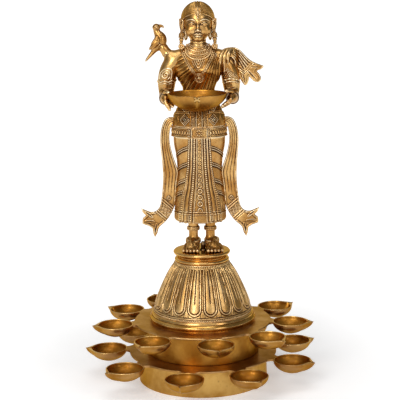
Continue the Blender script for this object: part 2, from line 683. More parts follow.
def skirt_relief(x, u, z):
    """Front strip of medallions between flaring bead bands, slanted folds at the sides, hem."""
    side, far = np.abs(x), np.abs(u)
    flare = np.interp(z, [243, 258, 279, 294.5, 325.6, 363], [1.1, 1, 0.77, 0.45, 0.12, 0])
    strip = np.interp(z, [243, 258, 290, 321, 363], [9.6, 9.2, 5.6, 3.9, 3.4])
    edge, front = 16.0 + 17.0 * flare, far < 60
    h = 1.1 * (1 - smooth(far, edge - 0.4, edge + 0.7)) * front
    # strip with its medallions
    pitch = np.clip(1.5 * strip, 5.2, 9.6)
    run = np.cumsum(np.diff(z[:, 0], prepend=z[0, 0]) / pitch[:, 0])[:, None]
    d = np.hypot(x, (run - np.round(run)) * pitch)
    corner = np.hypot(side - strip + 1.4, (run - np.floor(run) - 0.5) * pitch)
    inner = (1 - smooth(side, strip - 0.7, strip - 0.1)) * smooth(z, 258.8, 259.6)
    medallion = 0.95 * bump(d - 0.33 * pitch, 0.95) + 0.8 * bump(d, 0.17 * pitch)
    h += inner * (medallion + 0.4 * bump(corner, 0.8) - 0.45) + 0.55 * bump(side - strip, 0.7)
    # grooves, bead lines and a rib that flare to the hem
    for top, low in ((5.2, 11.4), (9.2, 17.6), (12.7, 24.0)):
        h -= 0.95 * bump(side - top - (low - top) * flare, 0.85) * front
    for top, low in ((7.2, 14.2), (14.3, 28.0)):
        h += 0.85 * beads(z, side - top - (low - top) * flare, 2.9, 1.3) * front
    h += 0.7 * bump(side - 10.9 - 9.7 * flare, 1.3) * front + 0.5 * bump(far - edge + 1.2, 1.1) * front
    # slanted double folds on the side panels
    slant = z + 0.62 * np.maximum(far - edge, 0) + 2.0 * soft(far - edge, 6)
    outside = smooth(far, edge, edge + 1.2) * smooth(z, 262, 272)
    cuts = np.array([268.0, 289.0, 306.5, 330.5, 354.5, 385.0])
    for cut in cuts[1:-1]:
        at = slant - cut
        h += outside * (bump(at - 1.5, 1.2) + 0.9 * bump(at + 1.5, 1.1) - 0.8 * bump(at + 3.4, 1.1))
    index = np.clip(np.searchsorted(cuts, slant) - 1, 0, len(cuts) - 2)
    share = np.clip((slant - cuts[index]) / (cuts[index + 1] - cuts[index]), 0, 1)
    weave = np.sin(slant * TAU / 2.6) * np.sin(u * TAU / 3.1)
    h += outside * (0.8 * np.sin(math.pi * share) ** 0.6 + 0.07 * weave)
    # hem all round: ribs under a double line, hatching in the middle
    ribs = window(z, 243.5, 245, 255.5, 257.5) * smooth(side, 12.5, 14)
    h += ribs * (0.8 * bump(off_beat(u, 4.6), 2.0) - 0.3)
    hatch = np.maximum(np.abs(np.sin((x + z) * TAU / 4.2)), np.abs(np.sin((x - z) * TAU / 4.2)))
    low_mid = (1 - smooth(side, 11.5, 12.5)) * window(z, 244, 245, 252.5, 253.5) * front
    h += low_mid * (0.6 * hatch - 0.55)
    for level in (242.6, 254.6, 258.2):
        h += 0.6 * bump(z - level, 0.9)
    lower_sides = smooth(far, edge, edge + 1) * window(z, 258, 259, 268, 274)
    return h + lower_sides * 0.5 * bump(off_beat(u, 4.4), 1.7)


def make_skirt():
    z = np.linspace(SKIRT_BASE, BELT_BASE + 0.8, 302)
    rise = np.clip((z - SKIRT_BASE) / (BELT_BASE - SKIRT_BASE), 0, 1)
    # rise share of the skirt, then shares of hem, knee and hip half sizes that add up to one
    mix = np.array([
        (0, 0.93, 0, 0), (0.02, 0.985, 0, 0), (0.05, 1, 0, 0), (0.13, 0.9, 0.1, 0), (0.27, 0.6, 0.4, 0),
        (0.45, 0.18, 0.82, 0), (0.62, 0, 1, 0), (0.76, 0, 0.75, 0.25), (0.88, 0, 0.3, 0.7), (1, 0, 0, 1),
    ])
    sizes = ((38.2, 32.6, 38.4), (28.5, 24.0, 27.5))
    width, depth = (spline(mix[:, 0], mix[:, 1:] @ three, rise) for three in sizes)
    theta, x, y, level = oval_rows(z, width, depth, depth * 0.98, 620)
    folds = 0.6 * np.sin(theta * 13) * smooth(-np.cos(theta), 0.15, 0.5) * smooth(level, 256, 266)
    uneven = 0.12 * waves(8, x / 9, y / 9, level / 11)
    relief = skirt_relief(x, girth(x, y), level) * 0.92 + folds - 0.5 + uneven
    hidden = smooth(level, BELT_BASE - 0.3, BELT_BASE + 0.3)
    points = push_out(x, y, level, relief * (1 - hidden) - 0.6 * hidden)
    # underside: turns in and up round the legs
    inside = []
    for share, lift in ((0.3, 7.5), (0.6, 7.0), (0.8, 5.0), (0.9, 0.6), (0.96, -0.2)):
        ring = points[0] * (share, share, 0)
        inside.append(ring + np.array([0, 0, SKIRT_BASE + lift]))
    piece("pleated_skirt", sheet(np.concatenate([inside, points])), ["skirt"])


def make_belt():
    z = np.linspace(BELT_BASE - 0.4, TORSO_BASE + 0.4, 64)
    theta, x, y, level = oval_rows(z, 39.4, 28.4, 28.0, 640)
    far, side, front = np.abs(girth(x, y)), np.abs(x), np.cos(theta) > 0
    t = level - (BELT_BASE + TORSO_BASE) / 2
    up = np.abs(t)
    h = 1.0 * bump(up - 6.6, 1.1) + 0.6 * bump(up - 4.6, 0.8)
    ovals = bump(np.hypot(off_beat(far, 4.2) / 1.5, t / 2.8), 1.0)
    panel = (1 - smooth(up, 3.4, 3.9)) * (side > 14.5)
    h += panel * (1.2 * ovals - 0.55 + 0.4 * beads(far - 2.1, up - 2.7, 4.2, 0.8))
    for at in (13.2, 15.4):
        h += bump(side - at, 0.9) * front * (up < 6.2)
    buckle = front * (1 - smooth(side, 11.2, 11.8))
    flower = np.hypot(x, t)
    rays = 0.55 + 0.45 * np.cos(np.arctan2(t, x) * 8)
    petals = 0.9 * bump(flower - 3.6, 1.7) * rays + 0.9 * bump(flower, 1.7)
    frame_lines = 0.7 * bump(side - 10.6, 0.9) + 0.7 * bump(up - 6.3, 0.9)
    corners = 0.6 * bump(np.hypot(side - 8.6, up - 4.6), 1.6)
    h = np.where(buckle > 0.5, 0, h) + buckle * (1.4 + petals + frame_lines + corners)
    rim = 0.5 * (1 - smooth(up, 7.0, 7.7)) + 0.2 - 2.4 * smooth(up, 7.15, 7.7)
    points = push_out(x, y, level, h + rim)
    inner = points[[-1, 0]] * (0.93, 0.93, 1)
    piece("waist_girdle", sheet(np.concatenate([points, inner]), close=True), ["belt"])


# Torso: rise share, half width, front depth, back depth and how far forward
TORSO_ROWS = np.array([
    (0.0, 38.4, 27.5, 27.5, 0), (0.10, 37.6, 26.7, 26.7, 0), (0.22, 32.3, 22.6, 22.6, 0),
    (0.34, 26.6, 19.3, 19.3, 0), (0.46, 22.4, 17.5, 17.5, 0), (0.56, 27.4, 18.9, 18.5, 1.4),
    (0.66, 33.0, 19.5, 20.0, 3.5), (0.76, 35.0, 18.2, 19.0, 3.5), (0.87, 35.6, 14.5, 15.0, 1.2),
    (0.95, 24.7, 13.2, 13.2, 0), (1.0, 13.5, 12.0, 12.0, 0),
])


def torso_sizes(z):
    rise = (np.asarray(z, float) - TORSO_BASE) / (TORSO_TOP - TORSO_BASE)
    return [spline(TORSO_ROWS[:, 0], column, rise) for column in TORSO_ROWS.T[1:]]


def bust(x, z):
    """Height of the bust over the plain chest."""
    far = [np.sqrt(((x - middle) / 12.5) ** 2 + ((z - 464.5) / 11.5) ** 2 + 1e-6) for middle in (-13.5, 13.5)]
    return sum(9.0 * np.exp(-(d ** 2.4) * 0.9) for d in far)


def on_chest(spots, lift):
    """Points over the chest at (across, height) places seen from the front."""
    x, z = np.asarray(spots, float).T
    width, front, _, forward = torso_sizes(z)
    chest = forward + front * np.sqrt(np.clip(1 - (x / width) ** 2, 0.02, 1)) + bust(x, z)
    return np.stack([x, -chest - lift, z], 1)


def torso_relief(x, u, z, facing):
    """Sari folds that fan from her left shoulder, and the patterned cloth over her hips."""
    shoulder_x, shoulder_z = 34.0, 508.0
    fans = np.degrees(np.arctan2(shoulder_z - z, shoulder_x - x)) / 4.6
    reach = np.hypot(shoulder_z - z, shoulder_x - x)
    neckline = (z - 452) - np.where(x < 0, x * -1.62, x * 1.9)
    wrapped = (1 - smooth(neckline, -5.0, -1.0)) * smooth(z, 421.0, 425.0) * smooth(reach, 14, 22)
    shoulder = smooth(x, 22.5, 25.0) * smooth(z, 462, 472)
    front = smooth(facing, -0.1, 0.25)
    amount = np.clip(wrapped + shoulder, 0, 1) * front
    h = amount * ((2.1 * scallops(fans) - 0.8) * (0.75 + 0.25 * np.sin(fans * 2.1 + 1.0)) + 0.5)
    h += (1 - front) * window(z, 421, 428, 482, 490) * 0.8 * (scallops(fans * 0.7) - 0.3)
    h += 0.4 * bump(z - 424.5, 1.6) + 0.5 * bump(z - 421.0, 1.0)
    # hips: upright bands in the middle, diamonds and arched lines beside them
    far, hips = np.abs(u), 1 - smooth(z, 419.0, 421.0)
    s = np.abs(x) / np.interp(z, [381, 420], [1.0, 0.86])
    bands = 0.9 * sum(bump(s - at, width) for at, width in ((4.4, 0.8), (7.6, 0.9), (9.3, 0.8), (13.0, 1.0)))
    bands = bands + 0.8 * beads(z, s - 11.1, 2.3, 1.0)
    bands = bands + (s < 3.6) * 0.6 * bump(x - 1.6 * np.sin(z * TAU / 9.0), 0.9)
    h += hips * (bands - 0.5 * (s < 13.6)) * (facing > 0)
    for level, size in ((392.5, 6.4), (411.0, 5.2)):
        diamond = np.abs(far - 21.5) / 0.9 + np.abs(z - level)
        checks = 0.8 + 0.6 * np.sign(np.sin((far - z) * TAU / 3.4)) * (diamond < size - 1.6)
        h += hips * ((1 - smooth(diamond, size - 0.6, size)) * checks + 0.8 * bump(diamond - size - 1.8, 0.9))
    for level in (402.5, 404.6, 418.0):
        h += hips * 0.9 * bump(z - level + 0.006 * (far - 20) ** 2, 1.0) * (far > 14.5)
    for at in (33.0, 35.0, 52.0, 54.0):
        h += hips * 0.5 * bump(far - at, 0.8)
    return h + hips * 0.35 * beads(z, far - 43.5, 5.2, 1.9)


def make_torso():
    z = np.linspace(TORSO_BASE - 0.8, TORSO_TOP + 1.5, 302)
    width, front, back, forward = torso_sizes(np.maximum(z, TORSO_BASE))
    theta, x, y, level = oval_rows(z, width, front, back, 600, forward)
    facing = np.cos(theta) + 0 * x
    y = y - bust(x, level) * smooth(facing, 0.0, 0.35)
    spine = -1.6 * soft(x, 4.0) * smooth(-facing, 0.2, 0.7) * window(level, 415, 430, 470, 485)
    uneven = 0.1 * waves(21, x / 8, y / 8, level / 9)
    relief = torso_relief(x, girth(x, y), level, facing) * 0.9 + spine - 0.25 + uneven
    hidden = 1 - smooth(level, TORSO_BASE - 0.3, TORSO_BASE + 0.3)
    points = push_out(x, y, level, relief * (1 - hidden) - 0.6 * hidden)
    piece("draped_torso", sheet(points), ["torso"], torso_look)


# Arms, hands and what they hold: places are across, forward, height and radius

# from shoulder to wrist
ARM_PATH = (
    (9.5, 0, 484.0, 7.4), (22.5, 0, 483.0, 9.4), (31.6, 0, 477.8, 11.3), (39.2, 0, 469.0, 12.0),
    (43.9, -1.2, 457.6, 12.4), (45.8, -1.9, 445.9, 12.3), (46.6, -1.2, 435.4, 11.0), (46.8, 3.1, 427.8, 9.6),
    (47.0, 12.4, 424.2, 9.6), (47.2, 25.4, 424.0, 8.4), (46.8, 36.5, 425.6, 7.4), (46.0, 45.0, 426.6, 6.9),
)
# for each hand: palm, thumb, then fingers
RIGHT_HAND = (
    ((46.4, 44, 427.0, 6.6), (46.9, 51, 427.4, 6.2), (46.8, 57, 427.6, 5.2)),
    ((47.6, 47, 431.5, 3.4), (46.6, 53, 435.6, 3.1), (44.2, 58.5, 437.2, 2.7), (42.0, 62, 436.6, 2.2)),
    ((47.0, 58, 428.5, 3.5), (46.6, 62.5, 424.0, 3.3), (43.6, 64.5, 419.0, 2.9), (41.0, 65.0, 413.6, 2.4)),
    ((46.4, 54, 427.4, 3.4), (45.2, 57.5, 423.6, 3.2), (41.0, 59.0, 419.9, 2.8), (37.2, 59.5, 417.2, 2.3)),
    ((46.2, 50, 426.6, 3.3), (44.4, 52.5, 422.6, 3.1), (40.0, 53.5, 419.4, 2.7), (36.6, 54.0, 417.0, 2.2)),
    ((46.0, 46, 426.0, 3.1), (43.6, 48.0, 422.2, 2.9), (39.8, 48.5, 419.4, 2.5), (36.6, 49.0, 417.4, 2.1)),
)
LEFT_HAND = (
    ((45.6, 44, 427.0, 6.6), (44.8, 51, 427.0, 6.2), (43.6, 56, 426.6, 5.2)),
    ((46.0, 47, 432.0, 3.4), (43.4, 53, 436.4, 3.2), (40.4, 58.5, 438.0, 2.8), (37.0, 61, 437.4, 2.3)),
    ((44.2, 57, 429.5, 3.5), (44.0, 62.0, 425.6, 3.3), (39.8, 65.0, 423.0, 2.8), (35.4, 66.0, 420.6, 2.2)),
    ((43.4, 56, 427.4, 3.4), (41.6, 60.5, 423.4, 3.2), (36.6, 63.5, 420.6, 2.7), (32.4, 64.5, 418.0, 2.2)),
    ((43.0, 54, 425.6, 3.3), (40.4, 57.5, 421.2, 3.1), (35.6, 60.5, 418.4, 2.6), (31.6, 61.5, 416.0, 2.1)),
    ((42.8, 50, 424.8, 3.1), (39.6, 53.0, 420.4, 2.9), (35.2, 55.5, 417.4, 2.5), (31.4, 56.5, 415.0, 2.0)),
)
LEFT_OUT = 1.0


def make_arm(name, hand, fingers):
    body = Body((4, -74, 405), (64, 18, 502), 0.6)
    body.run(ARM_PATH, 40, 1.6)
    if hand < 0:
        body.limb([(34.0, 0, 470.0), (40.4, 0, 482.6)], [10.6, 8.3], 5.0)
    body.run(fingers[0], 8, 1.5)
    body.run(fingers[1], 12, 1.2)
    for finger in fingers[2:]:
        body.run(finger, 12, 0.35)
        for x, forward, z, r in finger[1:3]:
            body.ball((x, -forward, z), [r + 0.25] * 3, 0.8)
        # nail near the fingertip
        x, forward, z, _ = np.array(finger[2]) + np.subtract(finger[3], finger[2]) * 0.9
        body.ball((x + 0.5, -forward - 1.6, z + 0.4), (1.3, 0.8, 1.3), 0.3)

    def creases(x, y, z):
        fold = 0.45 * soft(z - 436.5 - 0.2 * (x - 46), 0.7) + 0.4 * soft(z - 432.6 - 0.3 * (x - 46), 0.7)
        return -fold * (y < 0) * (x < 52)

    body.carve((34, -16, 428), (60, 12, 440), creases)
    body.write(name + "_arm_and_hand", name + "_arm", hand, LEFT_OUT)


def swirl_band(u, z):
    """Scroll under an arched rope, over a peaked ridge; u runs outward round the arm."""
    a, b = u - 3.2, z - 456.2
    far = np.hypot(a, b)
    spiral = (far / 3.6 - np.arctan2(b, a) / TAU) % 1 - 0.5
    arch = np.where(b > -1.0, far - 9.4, np.abs(a) - 9.4)
    ridge = z - 446.6 - 1.0 * np.cos(a * TAU / 11.0)
    return (1.5 * bump(spiral * 3.6, 1.35) * (far < 7.6) + 1.5 * bump(far, 2.0)
            + 1.9 * bump(arch, 1.7) * (b > -6.5) * (np.abs(a) < 11.4) - 0.8 * bump(far - 7.6, 0.8) * (b > -3)
            + 2.0 * bump(ridge, 1.7) + 1.3 * bump(ridge + 3.4, 1.2))


def peak_band(u, z):
    """Pointed leaf of slanted lines, over curved lines and small flowers."""
    slope = np.abs(u + 0.8) * 1.15 + (z - 464.6)
    h = np.where((slope < 0) & (z > 451.0), 0.4 + 1.3 * bump(off_beat(slope, 3.6), 1.3), 0)
    arch = z - 449.4 + 0.02 * u ** 2
    h = h + 1.5 * bump(slope - 0.6, 1.2) * (z > 450) + 1.9 * bump(arch, 1.5) + 1.5 * bump(arch + 3.8, 1.3)
    for middle in (-9.0, 9.0):
        far = np.hypot(u - middle, z - 445.4)
        h = h + 1.4 * bump(far - 2.6, 1.2) + 1.4 * bump(far, 1.2)
    return h


def make_armlet(name, hand, relief):
    z = np.linspace(441.5, 468.2, 62)
    # height, then the arm's place across, its place back and its radius there
    knots = np.array([
        (441.5, 46.3, 1.7, 11.8), (445.9, 45.8, 1.9, 12.3),
        (457.6, 43.9, 1.2, 12.4), (468.2, 39.8, 0.5, 12.1),
    ])
    across, back, size = (np.interp(z, knots[:, 0], knots[:, k])[:, None] for k in (1, 2, 3))
    z, theta = z[:, None], circle(200)
    h = relief(np.where(theta > math.pi, theta - TAU, theta) * 12.8, z) * smooth(np.cos(theta), -0.9, -0.4)
    edge = window(z, 441.5, 442.6, 467.2, 468.2)
    rest = np.minimum(smooth(z, 441.5, 446.0), 1 - smooth(z, 463.0, 468.0))
    r = size - 0.55 + (h * 1.15 + 0.2 * rest) * edge - 1.2 * (1 - edge)
    outer, inner = ring_rows(theta, r, z, across, back), ring_rows(theta, size - 2.2, z, across, back)
    band = mirrored(sheet(np.concatenate([outer, inner[::-8]]), close=True), hand, LEFT_OUT)
    piece(name + "_armlet_band", band, [name + "_armlet"])


def make_bangles(name, hand):
    forward, spots = np.linspace(21.5, 38.5, 70), np.array(ARM_PATH)[7:]
    centre, level, size = (np.interp(forward, spots[:, 1], spots[:, k])[:, None] for k in (0, 2, 3))
    forward, theta = forward[:, None], circle(120)
    ridge = bump(off_beat(forward, 3.4), 1.6) * window(forward, 21.5, 22.3, 37.7, 38.5)
    r = size + 1.15 * ridge * (1 + 0.06 * np.sin(3 * theta) * np.cos(forward / 5)) - 0.2

    def rows(r):
        x, z = centre + r * np.sin(theta), level + r * np.cos(theta)
        return np.stack(np.broadcast_arrays(x, -forward, z), -1)

    skin_rows = sheet(np.concatenate([rows(r), rows(size - 1.6)[::-10]]), close=True)
    piece(name + "_wrist_bangles", mirrored(skin_rows, hand, LEFT_OUT), [name + "_bangles"])


def make_offering_bowl():
    rows = bowl_rows(41.5, 46.0, 24.0, 2.2, 4.0, 240, 77, 44)
    outside = 46
    x, y, z = rows[:outside, :, 0], rows[:outside, :, 1], rows[:outside, :, 2]
    strokes = (((-3.0, -1.4), (3.0, -6.0)), ((3.0, -1.4), (-3.0, -6.0)))
    marks = sum(0.8 * bump(near_line(y, z, stroke)[0], 1.1) for stroke in strokes)
    hollow = -0.7 * soft(y, 2.0 + 0.22 * np.clip(-z, 0, 25)) * window(-z, 4.0, 8.0, 17.0, 23.0)
    front = x > 20
    rows[:outside, :, 0] = x + (np.clip(marks, 0, 1.2) + hollow) * front
    # the spout points to the front
    place = np.array([-4.0, -60.5, 435.7 - LIP_PROUD])
    points = place + np.stack([rows[..., 1] * 1.012, -rows[..., 0], rows[..., 2]], -1)
    raised = np.zeros((len(rows) - 1, points.shape[1]), bool)
    raised[:outside - 1] = ((marks > 0.3) & front)[:-1]
    bowl_piece("held_bowl", points, outside + 3, raised, bowl_outside, "offering_bowl", "pedestal")


# Legs, feet and anklets, and the peg between them

def make_foot(name, hand):
    leg, foot = 2.0 + hand * 12.4, 2.0 + (19.0 if hand > 0 else -16.8)
    heel = leg + hand * 1.2 + 0.8
    body = Body((foot - 17, -33, 196.6), (foot + 17, 14, 246), 0.55)
    body.limb([(leg, 1, 246), (leg, 1, 224), (leg, 0.5, 214)], [8.4, 6.5, 7.0], 1.0)
    body.ball((leg * 0.4 + foot * 0.6, -8.5, 204.6), (11.4, 11.5, 6.6), 3.0)
    body.limb([(leg, 2, 212), (leg, 5, 203)], [7.2, 6.6], 2.0)
    body.limb([(leg, -1, 211), ((leg + foot) / 2, -10, 206.5), (foot, -17, 202.8)], [7.0, 6.4, 5.4], 3.0)
    body.ball((foot, -13.5, 201.1), (13.0, 13.4, 4.6), 2.5)
    body.ball((leg, 4, 201.5), (8.6, 7.5, 5.0), 2.5)
    body.ball((heel, -2.0, 208.6), (9.8, 10.0, 5.6), 3.0)
    for step in np.arange(-10, 11, 5.0):
        inner = -hand * step
        tip, size = 26.6 - 0.014 * (inner - 5) ** 2, 2.95 if inner > 8 else 2.5
        toe = ((0.7, -9, 206.4), (0.88, -16, 204.6), (1.0, 1 - tip, 200.9))
        body.limb([(foot + step * share, y, z) for share, y, z in toe], [2.0, 2.5, size], 0.6)
        body.ball((foot + step, -tip, 200.6), (size, size + 0.6, size), 0.35)
        body.ball((foot + step, -tip - 2.1, 202.2), (1.5, 1.0, 0.9), 0.25)
    body.ball((foot, -20, 192.9), (30, 40, 4.5), 0.3, -1)

    def lines(x, y, z):
        ray = np.arctan2(x - foot, -y + 2) * 22.4
        return 0.3 * np.sin(ray) * window(-y, 6, 11, 18, 20) * (z > 202)

    body.carve((foot - 13, -21, 201), (foot + 13, -5, 213), lines)
    parts, theta = [body.part()], circle(96)
    for level, tall, size, middle, ahead in ((229.4, 6.4, 9.8, leg, 0.0), (211.4, 6.2, 11.6, heel, 3.4)):
        z = np.linspace(level - tall / 2, level + tall / 2, 26)[:, None]
        rings = 1.5 * bump(np.abs(z - level) / tall * 2 - 0.48, 0.5)
        r = size - 1.9 + rings + 0.5 * beads(theta * 9, z - level, 9 * TAU / 22, 1.25)
        r[[0, -1]] -= 1.6
        rows = ring_rows(theta, r, z - 0.16 * ahead / 3.4 * r * np.cos(theta), middle, 0.6 - ahead)
        parts.append(sheet(rows, close=True))
    piece(name + "_foot", parts, [name + "_leg"], foot_look, 120.0)


def make_peg():
    """Low dark peg that stands on the plinth between the feet."""
    profile = (
        (5.0, 197.2), (5.0, 198.6), (4.4, 199.2), (3.3, 199.6), (3.2, 208.0), (2.7, 209.6), (1.5, 210.4),
    )
    r, z = np.array(profile).T[..., None]
    piece("plinth_peg", sheet(ring_rows(circle(48), r, z, 2.0, -6.0)), (), post_look, 60.0, x0=0)


# Flat cast cloth, seen from the front

def outline_distance(x, z, outline):
    """Distance to a closed outline, less than nought inside it."""
    closed = [*outline, outline[0]]
    d, _ = near_line(x, z, closed)
    inside = np.zeros(d.shape, bool)
    for (ax, az), (bx, bz) in zip(closed, closed[1:]):
        if az != bz:
            inside ^= ((az > z) != (bz > z)) & (x < (bx - ax) * (z - az) / (bz - az) + ax)
    return np.where(inside, -d, d)


def cloth(body, outline, middle, half, relief, corner):
    """Plate of an outline with a rounded edge and a raised face."""
    low, high = np.min(outline, 0), np.max(outline, 0)
    place, (x, y, z) = body.near((low[0] - 3, body.low[1], low[1] - 3), (high[0] + 3, 1e3, high[1] + 3))
    flat_x, flat_z = x[:, 0, :], z[:, 0, :]
    edge = outline_distance(flat_x, flat_z, outline)
    proud = relief(flat_x, flat_z, edge) / 2
    centre = (middle(flat_x, flat_z) - proud)[:, None]
    thick = (half(flat_x, flat_z) + proud)[:, None]
    a, b = edge[:, None] + corner + 0 * y, np.abs(y - centre) - thick + corner
    rounded = np.hypot(np.maximum(a, 0), np.maximum(b, 0)) + np.minimum(np.maximum(a, b), 0)
    body.join(place, rounded - corner, 0.6)


def slits(x, z, lines, lip, beyond, lip_width):
    """Pointed slits with a raised lip at both sides."""
    h = 0
    for a, b, wide in lines:
        d, s = near_line(x, z, (a, b))
        width = wide * np.sin(math.pi * np.clip(s / math.dist(a, b), 0.02, 0.98)) + 0.2
        h = h + lip * bump(d - width - beyond, lip_width) - 1.1 * bump(d, width)
    return h


SASH_OUTER = curve_points((
    (35, 393.6), (42, 394.0), (48.2, 391.2), (54, 380.4), (56.9, 360.8), (55.4, 337.3), (54.0, 303.2),
    (54.9, 288.2), (56.9, 271.9), (60.6, 259.6), (66.5, 254.6), (73.7, 254.1),
), 60)
SASH_TAIL = (
    (86.6, 259.4), (84.4, 253.0), (79.7, 248.9), (84.9, 244.5), (85.4, 236.5), (76.5, 233.4), (70.6, 229.6),
    (69.6, 222.0), (67.3, 215.8),
)
SASH_INNER = curve_points((
    (63.2, 222.5), (61.4, 229.4), (52.4, 238.3), (42.4, 251.6), (37.4, 263), (35.2, 278.3), (33.6, 297.1),
    (32.2, 305.7), (31.4, 313.2), (33.4, 321.6), (37.6, 333.8), (41.4, 348.0), (43.4, 362.4), (42.4, 374.0),
    (37.5, 384.5), (34.2, 386.5),
), 60)


def sash_relief(x, z, edge):
    """Long pleats, a small lozenge, two double bands with hatching, and a slit palm leaf tail."""
    d_out, d_in = near_line(x, z, SASH_OUTER)[0], near_line(x, z, SASH_INNER[8:])[0]
    c = d_out / (d_out + d_in + 1e-6)
    swell = smooth(c, 0.80, 0.92) * soft(z - 311, 17)
    h = smooth(z, 279.0, 290.0) * (1 - swell) * (1.25 * scallops(c * 4.6) - 0.5) + swell * 1.1
    h += 0.8 * bump(edge + 1.3, 1.1) * (z > 262)
    # bands cross the cloth on lines that tilt with the tail
    across, along = (x - 56.0) * 0.78 + (z - 262.0) * 0.62, (x - 56.0) * -0.62 + (z - 262.0) * 0.78
    first, second = (x - 47.5) * -0.66 + (z - 265.0) * 0.75, (x - 57.5) * -0.66 + (z - 250.5) * 0.75
    for line in (first - 1.7, first + 1.7, second - 1.7, second + 1.7):
        h += bump(line, 1.15) * (edge < -0.5)
    check = np.sin(along * TAU / 3.0) * np.sin(across * TAU / 3.0)
    h += ((first < -3.2) & (second > 3.2)) * (0.35 + 0.55 * np.clip(check * 2, -1, 1))
    lozenge = np.abs(x - 45.6) + np.abs(z - 274.6) * 0.9
    h += 0.9 * bump(lozenge - 2.9, 1.0) + 0.7 * bump(lozenge, 1.0) - 0.5 * (lozenge < 2.0)
    tail = smooth(-second, 3.0, 4.5)
    lines = (((70.5, 246.5), (79.8, 254.8), 0.45), ((68.5, 240.0), (80.0, 240.5), 0.45),
             ((64.4, 236.0), (67.0, 223.5), 0.45))
    return 0.85 * (h + tail * (0.9 + 0.9 * bump(edge + 1.7, 1.5) + slits(x, z, lines, 0.6, 0.8, 0.8)))


def make_sash(name, hand):
    body = Body((26, -6.5, 212), (92, 5.5, 398), 0.55)

    def middle(x, z):
        return 0.9 + 0.5 * np.cos(z / 22) + 0 * x

    def half(x, z):
        return 1.7 + 0 * x * z

    cloth(body, [*SASH_OUTER, *SASH_TAIL, *SASH_INNER], middle, half, sash_relief, 1.1)
    body.write(name + "_hanging_sash", name + "_sash", hand)


DRAPE_TOP = curve_points((
    (31.0, 487.6), (36.5, 491.2), (45.5, 493.6), (54.0, 493.0), (61.6, 488.2), (68.6, 480.6), (77.6, 473.4),
    (85.5, 469.6), (93.4, 466.8),
), 50)
DRAPE_REST = (
    (93.8, 464.6), (90.5, 461.6), (85.4, 460.0), (84.0, 458.6), (87.4, 455.2), (89.8, 450.6), (90.0, 446.2),
    (87.6, 443.4), (83.4, 442.8), (78.6, 445.0), (74.4, 449.6), (72.6, 451.6), (72.2, 446.0), (70.4, 441.4),
    (68.0, 438.8), (65.4, 439.6), (62.4, 443.8), (59.0, 449.6), (55.6, 457.0), (53.6, 467.0), (50.6, 476.0),
    (47.0, 481.0), (40.0, 482.5), (33.0, 481.0),
)


def drape_relief(x, z, edge):
    """Pleats that fan from the shoulder to a double band, then three petals."""
    lower = ((40.0, 483.0), (47.0, 480.0), (50.6, 474.0), (53.6, 465.0), (55.6, 456.0), (58.5, 446.0))
    d_up, d_low = near_line(x, z, DRAPE_TOP)[0], near_line(x, z, lower)[0]
    c = d_up / (d_up + d_low + 1e-6)
    band = np.minimum((x - 61.8) * 0.559 + (z - 462.0) * 0.829, (x - 68.1) * -0.717 + (z - 461.2) * 0.697)
    h = smooth(band, 1.5, 2.5) * smooth(x, 47, 55) * (2.5 * scallops(c * 6.5) - 1.0)
    h += (1 - smooth(x, 48, 58)) * 0.35 * np.sin(x * TAU / 5.0 + z * 0.5)
    for line in (band - 1.3, band + 1.3):
        h += 1.3 * bump(line, 1.1) * (x > 55) * (x < 80)
    petals = np.maximum(smooth(-band, 2.4, 3.2) * (x > 58), smooth(x, 76.5, 78.0))
    h += petals * (0.5 + 0.6 * bump(edge + 1.5, 1.4) + 0.8 * smooth(-edge, 2.0, 5.0))
    lines = (((76.5, 465.8), (89.6, 464.6), 0.3), ((71.6, 459.4), (82.0, 447.8), 0.4),
             ((63.6, 456.0), (66.4, 443.6), 0.3))
    return 0.8 * (h + petals * slits(x, z, lines, 0.4, 1.1, 1.0))


def make_drape():
    body = Body((26, -17, 436), (97, 17, 498), 0.6)

    def middle(x, z):
        return 0.8 - 2.6 * smooth(x, 52, 66) + 3.4 * smooth(x, 66, 90) + 0 * z

    def half(x, z):
        lens = np.sqrt(np.clip(1 - ((x - 42.0) / 21.0) ** 2 - ((z - 477.0) / 17.0) ** 2, 0, 1)) * 15.0
        return np.maximum(lens * (1 - smooth(x, 52, 60)), 1.9)

    cloth(body, [*DRAPE_TOP, *DRAPE_REST], middle, half, drape_relief, 1.2)
    # folds over the shoulder as (across, height) points, and how far each one is set back
    folds = (
        (((38.5, 489.5), (33.0, 484.0), (31.0, 475.0), (30.6, 464.0)), 0.9),
        (((42.5, 490.5), (38.0, 484.5), (36.6, 474.0), (36.8, 459.5)), 0.0),
        (((46.5, 490.5), (42.8, 485.0), (41.6, 478.0), (41.8, 471.0)), 0.0),
    )
    share = np.linspace(0, 1, 20)
    for fold, set_back in folds:
        line = curve_points(fold, 20)
        depth = set_back - np.interp(share, [0, 0.25, 0.6, 1], [7.6, 12.0, 12.9, 11.4])
        radii = np.interp(share, [0, 0.3, 0.7, 1], [1.8, 2.7, 2.2, 0.9])
        body.limb(np.stack([line[:, 0], depth, line[:, 1]], 1), radii, 1.1)
    body.ball((45.5, 0.5, 473.0), (8.6, 10.6, 12.0), 4.0)
    body.write("flying_shoulder_cloth", "shoulder_drape")


# Parrot on its stump

